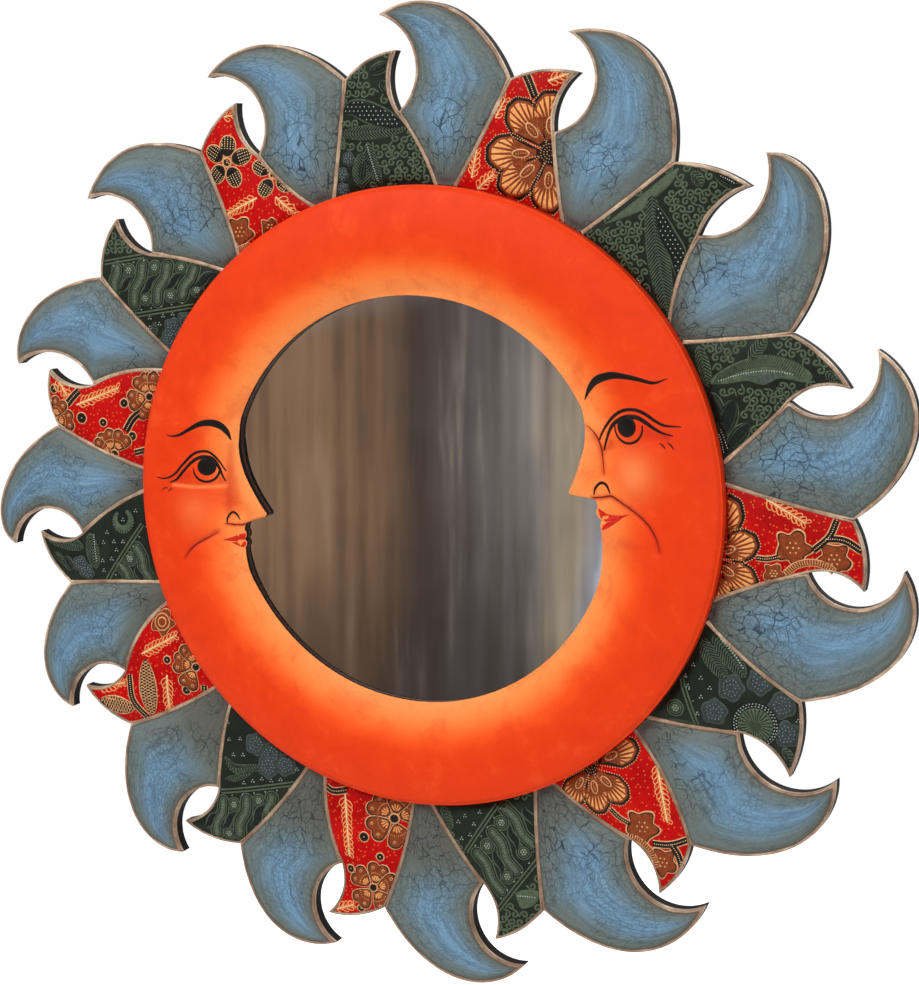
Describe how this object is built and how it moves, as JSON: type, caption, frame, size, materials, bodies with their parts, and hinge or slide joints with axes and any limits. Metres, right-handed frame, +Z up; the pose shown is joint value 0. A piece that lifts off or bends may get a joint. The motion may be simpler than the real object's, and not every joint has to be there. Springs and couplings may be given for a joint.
{
  "type": "sun and moon wall mirror",
  "caption": "Round wall mirror in a carved ring with moon and sun faces in profile, framed by a sunburst of crackle-painted and batik-covered flame rays, hung from a D-ring.",
  "frame": {"origin": "the point of the wall behind the bar of the hanging D-ring, on the mirror's upright centre line", "axes": "+Z up, +Y into the wall, so the mirror faces -Y; +X to the right seen from the front"},
  "size_m": [0.5973, 0.0266, 0.5963],
  "materials": {
    "blue_crackle": "blue crackle paint over grey, gold rim, satin varnish",
    "green_batik": "dark green batik with scrolls, bands and dots, gold rim, satin varnish",
    "red_batik": "red batik with brown flowers, sprigs and dots, gold rim, satin varnish",
    "orange_paint": "orange paint shaded lighter towards the glass, satin varnish",
    "mirror": "silvered glass",
    "card": "grey-brown packing card",
    "hardboard": "brown hardboard",
    "brass": "brushed",
    "screw_steel": "zinc plated",
    "hanger_steel": "zinc plated"
  },
  "bodies": {
    "mirror": {"blue_ray_01": "blue_crackle", "blue_ray_02": "blue_crackle", "blue_ray_03": "blue_crackle", "blue_ray_04": "blue_crackle", "blue_ray_05": "blue_crackle", "blue_ray_06": "blue_crackle", "blue_ray_07": "blue_crackle", "blue_ray_08": "blue_crackle", "blue_ray_09": "blue_crackle", "blue_ray_10": "blue_crackle", "blue_ray_11": "blue_crackle", "blue_ray_12": "blue_crackle", "blue_ray_13": "blue_crackle", "blue_ray_14": "blue_crackle", "blue_ray_15": "blue_crackle", "green_ray_01": "green_batik", "red_ray_02": "red_batik", "green_ray_03": "green_batik", "green_ray_04": "green_batik", "red_ray_05": "red_batik", "green_ray_06": "green_batik", "red_ray_07": "red_batik", "green_ray_08": "green_batik", "red_ray_09": "red_batik", "green_ray_10": "green_batik", "red_ray_11": "red_batik", "green_ray_12": "green_batik", "red_ray_13": "red_batik", "green_ray_14": "green_batik", "red_ray_15": "red_batik", "sun_moon_ring": "orange_paint", "mirror_glass": "mirror", "packing_card": "card", "back_panel": "hardboard", "ray_screws": "screw_steel", "turn_button_screws": "screw_steel", "hanger_plate": "hanger_steel", "hanger_screws": "screw_steel"},
    "turn_button_1": {"turn_button_1": "brass"},
    "turn_button_2": {"turn_button_2": "brass"},
    "turn_button_3": {"turn_button_3": "brass"},
    "turn_button_4": {"turn_button_4": "brass"},
    "turn_button_5": {"turn_button_5": "brass"},
    "turn_button_6": {"turn_button_6": "brass"},
    "hanging_ring": {"hanging_ring": "hanger_steel"}
  },
  "joints": [
    {"name": "turn_button_1_turn", "type": "hinge", "parent": "mirror", "child": "turn_button_1", "pos_m": [0.15225, -0.0057, -0.155], "axis": [0, 1, 0], "range_deg": [-90, 90]},
    {"name": "turn_button_2_turn", "type": "hinge", "parent": "mirror", "child": "turn_button_2", "pos_m": [0.07612, -0.0057, -0.02315], "axis": [0, 1, 0], "range_deg": [-90, 90]},
    {"name": "turn_button_3_turn", "type": "hinge", "parent": "mirror", "child": "turn_button_3", "pos_m": [-0.07612, -0.0057, -0.02315], "axis": [0, 1, 0], "range_deg": [-90, 90]},
    {"name": "turn_button_4_turn", "type": "hinge", "parent": "mirror", "child": "turn_button_4", "pos_m": [-0.15225, -0.0057, -0.155], "axis": [0, 1, 0], "range_deg": [-90, 90]},
    {"name": "turn_button_5_turn", "type": "hinge", "parent": "mirror", "child": "turn_button_5", "pos_m": [-0.07612, -0.0057, -0.28685], "axis": [0, 1, 0], "range_deg": [-90, 90]},
    {"name": "turn_button_6_turn", "type": "hinge", "parent": "mirror", "child": "turn_button_6", "pos_m": [0.07612, -0.0057, -0.28685], "axis": [0, 1, 0], "range_deg": [-90, 90]},
    {"name": "hanging_ring_swing", "type": "hinge", "parent": "mirror", "child": "hanging_ring", "pos_m": [0, -0.0033, 0], "axis": [-1, 0, 0], "range_deg": [0, 175]}
  ]
}
